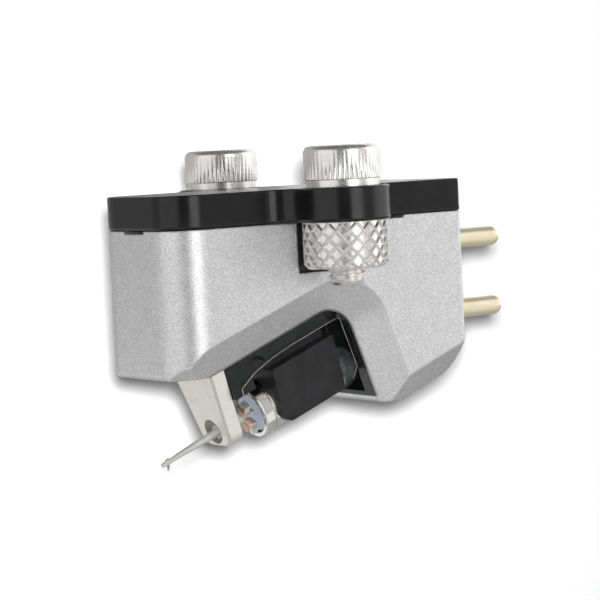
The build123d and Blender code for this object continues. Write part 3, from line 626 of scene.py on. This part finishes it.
def coilWindings(size):
    oneArm = windingTurns(size)
    shape = bmesh.new()
    lean = Matrix.Rotation(radians(size["lean"]), 4, "X")
    for turn in size["armTurns"]:
        arm = oneArm.copy()
        # the arm first lies across the generator's axis, then leans back with it
        arm.transform(Matrix.Translation(size["centre"]) @ lean @ Matrix.Rotation(radians(turn), 4, "Y"))
        shape.from_mesh(arm)
        bpy.data.meshes.remove(arm)
    piece = finishedPiece(shape, "coilWindings", finishes["copper"], "moving_system")


coilWindings(windingSizes)
print("coil windings built")


# cantilever: a drawn tube, flattened at the end, with the swelling that holds the stylus
cantileverSizes = {
    "front": (0, -0.005685, -0.014299), "lean": 21, "segments": 32, "steps": 40,
    "root": 0.0014, "taperStart": 0.0, "flatStart": -0.0027, "flatEnd": -0.0033, "tip": -0.004,
    "rootRadius": 0.00025, "endRadius": 0.00015, "flatWide": 0.00017, "flatDeep": 0.00013, "rise": -0.00004,
    "swellAt": -0.00355, "swellReach": 0.00022, "swellHeight": 0.00011, "swellBelow": 0.25,
    "tipLines": (0.00005, 0.00002, 0.0), "tipReach": 0.0001, "tipFlat": 0.55, "tipRound": 0.45,
}


def cantileverTube(size):
    stations = [size["root"], size["taperStart"]]
    length = size["tip"] - size["taperStart"]
    stations += [size["taperStart"] + length * step / size["steps"] for step in range(1, size["steps"])]
    stations += [size["tip"] + back for back in size["tipLines"]]
    shape = bmesh.new()
    rows = []
    for back in stations:
        taper = min(max((size["taperStart"] - back) / (size["taperStart"] - size["flatEnd"]), 0), 1)
        radius = size["rootRadius"] + (size["endRadius"] - size["rootRadius"]) * taper
        flat = min(max((size["flatStart"] - back) / (size["flatStart"] - size["flatEnd"]), 0), 1)
        flat = flat * flat * (3 - 2 * flat)
        wide = radius + (size["flatWide"] - radius) * flat
        deep = radius + (size["flatDeep"] - radius) * flat
        left = min((back - size["tip"]) / size["tipReach"], 1)
        close = size["tipFlat"] + size["tipRound"] * (1 - (1 - left) ** 2) ** 0.5
        away = min(abs(back - size["swellAt"]) / size["swellReach"], 1)
        swell = size["swellHeight"] * (1 + cos(pi * away)) / 2
        middle = size["rise"] * max(size["flatStart"] - back, 0) / (size["flatStart"] - size["tip"])
        row = []
        for step in range(size["segments"]):
            angle = tau * step / size["segments"]
            lift = deep * close + swell * (1 if sin(angle) > 0 else size["swellBelow"])
            row.append(shape.verts.new((wide * close * cos(angle), back, middle + lift * sin(angle))))
        rows.append(row)
    joinRows(shape, rows)
    shape.faces.new(rows[0])
    shape.faces.new(rows[-1])
    shape.transform(Matrix.Translation(size["front"]) @ Matrix.Rotation(radians(size["lean"]), 4, "X"))
    piece = finishedPiece(shape, "cantileverTube", finishes["light_metal"], "moving_system", sharp=60)
    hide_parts("cantilever")


cantileverTube(cantileverSizes)
print("cantilever built")


# camera at the photograph's viewing angle
cameraLook = {
    "azimuth": 55.17, "elevation": 1.142, "roll": 2.922, "distance": 0.1405,
    "lens": 139.8, "sensor": 36, "clipStart": 0.004, "aimRight": 0.00118, "aimDown": 0.00678,
}
azimuth = radians(cameraLook["azimuth"])
elevation = radians(cameraLook["elevation"])
roll = radians(cameraLook["roll"])
toCamera = Vector((sin(azimuth) * cos(elevation), -cos(azimuth) * cos(elevation), sin(elevation)))
levelRight = Vector((cos(azimuth), sin(azimuth), 0))
levelUp = toCamera.cross(levelRight)
pictureRight = levelRight * cos(roll) - levelUp * sin(roll)
pictureUp = levelRight * sin(roll) + levelUp * cos(roll)


def lookFrom(eye, aim, rightHint):
    # a place at eye whose own Z axis points away from aim
    away = (eye - aim).normalized()
    across = (rightHint - away * rightHint.dot(away)).normalized()
    turn = Matrix((across, away.cross(across), away)).transposed().to_4x4()
    return Matrix.Translation(eye) @ turn


cameraData = bpy.data.cameras.new("photoCamera")
cameraData.lens = cameraLook["lens"]
cameraData.sensor_width = cameraLook["sensor"]
cameraData.clip_start = cameraLook["clipStart"]
camera = placed("photoCamera", cameraData)
aimPoint = pictureRight * cameraLook["aimRight"] - pictureUp * cameraLook["aimDown"]
camera.matrix_world = lookFrom(toCamera * cameraLook["distance"], aimPoint, pictureRight)
bpy.context.scene.camera = camera


# stage: pale floor, backdrop that takes the soft shadow, reflector cards
def stagePiece(name, corners, faces, finish):
    mesh = bpy.data.meshes.new(name)
    mesh.from_pydata(corners, [], faces)
    mesh.materials.append(finish)
    piece = placed(name, mesh)
    return piece


def flatSheet(name, matrix, span, finish):
    signs = ((-1, -1), (1, -1), (1, 1), (-1, 1))
    corners = [matrix @ Vector((x * span / 2, y * span / 2, 0)) for x, y in signs]
    return stagePiece(name, corners, [(0, 1, 2, 3)], finish)


def paleFinish(name, grey, glow, oneSided):
    # pale paper that takes shadows; glow brightens it where it is seen, but lights nothing
    finish = bpy.data.materials.new(name)
    tree = emptyTree(finish)
    paper = tree.nodes.new("ShaderNodeBsdfDiffuse")
    paper.inputs["Color"].default_value = (grey, grey, grey, 1)
    light = tree.nodes.new("ShaderNodeEmission")
    tree.links.new(calc(tree, "MULTIPLY", seenRay(tree), glow), light.inputs["Strength"])
    both = tree.nodes.new("ShaderNodeAddShader")
    tree.links.new(paper.outputs[0], both.inputs[0])
    tree.links.new(light.outputs[0], both.inputs[1])
    surface = both.outputs[0]
    if oneSided:
        clear = tree.nodes.new("ShaderNodeBsdfTransparent")
        choose = tree.nodes.new("ShaderNodeMixShader")
        tree.links.new(tree.nodes.new("ShaderNodeNewGeometry").outputs["Backfacing"], choose.inputs[0])
        tree.links.new(surface, choose.inputs[1])
        tree.links.new(clear.outputs[0], choose.inputs[2])
        surface = choose.outputs[0]
    tree.links.new(surface, tree.nodes.new("ShaderNodeOutputMaterial").inputs["Surface"])
    return finish


def cardFinish(name, brightness):
    finish = bpy.data.materials.new(name)
    tree = emptyTree(finish)
    light = tree.nodes.new("ShaderNodeEmission")
    light.inputs["Strength"].default_value = brightness
    tree.links.new(light.outputs[0], tree.nodes.new("ShaderNodeOutputMaterial").inputs["Surface"])
    return finish


def curvedCard(name, fromAside, toAside, fromUp, toUp, reach, brightness):
    # part of a sphere round the object, measured in degrees right of the camera and above the horizon
    columns, rows = 24, 8
    ahead = Vector((toCamera.x, toCamera.y, 0)).normalized()
    corners = []
    for row in range(rows + 1):
        up = radians(fromUp + (toUp - fromUp) * row / rows)
        for column in range(columns + 1):
            aside = radians(fromAside + (toAside - fromAside) * column / columns)
            outward = ahead * cos(aside) + levelRight * sin(aside)
            corners.append((outward * cos(up) + Vector((0, 0, sin(up)))) * reach)
    faces = []
    for row in range(rows):
        for column in range(columns):
            first = row * (columns + 1) + column
            above = first + columns + 1
            faces.append((first, first + 1, above + 1, above))
    card = stagePiece(name, corners, faces, cardFinish(name, brightness))
    card.visible_camera = False
    card.visible_diffuse = False
    card.visible_shadow = False


stageSizes = {
    "floorDrop": -0.35, "floorSpan": 6.0, "floorGrey": 0.86, "floorGlow": 0.14,
    "backdropBack": 0.04, "backdropSpan": 0.14, "backdropTurn": 25, "backdropGrey": 0.88,
}
floorPlace = Matrix.Translation((0, 0, stageSizes["floorDrop"]))
floorPaper = paleFinish("floorPaper", stageSizes["floorGrey"], stageSizes["floorGlow"], False)
flatSheet("floor", floorPlace, stageSizes["floorSpan"], floorPaper)
turned = radians(stageSizes["backdropTurn"])
facing = toCamera * cos(turned) + levelRight * sin(turned)
backdropMiddle = aimPoint - toCamera * stageSizes["backdropBack"]
backdropPlace = lookFrom(backdropMiddle, backdropMiddle - facing, pictureRight)
backdropPaper = paleFinish("backdropPaper", stageSizes["backdropGrey"], 0.0, True)
backdrop = flatSheet("backdrop", backdropPlace, stageSizes["backdropSpan"], backdropPaper)
backdrop.visible_diffuse = False
backdrop.visible_glossy = False
backdrop.visible_transmission = False
backdrop.visible_shadow = False

# each card: degrees right of the camera from and to, degrees up from and to, distance, brightness
cards = {
    "leftGrey": (-180, -78, -8, 41, 0.5, 0.44),
    "leftLow": (-150, -75, -43, -8, 0.5, 0.78),
    "nearLeft": (-78, -16, -12, 41, 0.5, 0.9),
    "frontGrey": (-16, 18, -12, 41, 0.5, 0.08),
    "frontLow": (-30, 40, -32, -12, 0.5, 0.85),
    "rightLamp": (18, 45, -12, 41, 0.5, 2.3),
    "rightGrey": (45, 79, -12, 41, 0.5, 0.47),
    "sideLamp": (79, 112, -12, 41, 0.5, 1.4),
    "ceiling": (-180, 180, 41, 90, 0.5, 0.15),
    "underneath": (-180, 180, -90, -52, 0.3, 0.46),
    "rightLow": (44, 100, -50, -12, 0.5, 0.78),
}
for cardName, spread in cards.items():
    curvedCard(cardName, *spread)

# a small lamp beside the camera throws the shadow
lampSizes = {"right": 0.0013, "up": 0.0031, "across": 0.0061, "energy": 0.42}
lampData = bpy.data.lights.new("frontLamp", "AREA")
lampData.shape = "DISK"
lampData.size = lampSizes["across"]
lampData.energy = lampSizes["energy"]
lamp = placed("frontLamp", lampData)
lampEye = toCamera * cameraLook["distance"] + pictureRight * lampSizes["right"] + pictureUp * lampSizes["up"]
lamp.matrix_world = lookFrom(lampEye, aimPoint, pictureRight)
lamp.visible_glossy = False

# the surroundings are white where they are seen and light the object less
surroundLevels = {"seen": 1.0, "fill": 0.22}
world = bpy.data.worlds.new("studio")
bpy.context.scene.world = world
worldTree = emptyTree(world)
pick = worldTree.nodes.new("ShaderNodeMixShader")
worldTree.links.new(seenRay(worldTree), pick.inputs[0])
for place, use in ((1, "fill"), (2, "seen")):
    surround = worldTree.nodes.new("ShaderNodeBackground")
    surround.inputs["Strength"].default_value = surroundLevels[use]
    surround.inputs["Color"].default_value = (1, 1, 1, 1)
    worldTree.links.new(surround.outputs[0], pick.inputs[place])
worldTree.links.new(pick.outputs[0], worldTree.nodes.new("ShaderNodeOutputWorld").inputs["Surface"])

bpy.context.scene.view_settings.view_transform = "Standard"
print("stage, lamp and camera set")
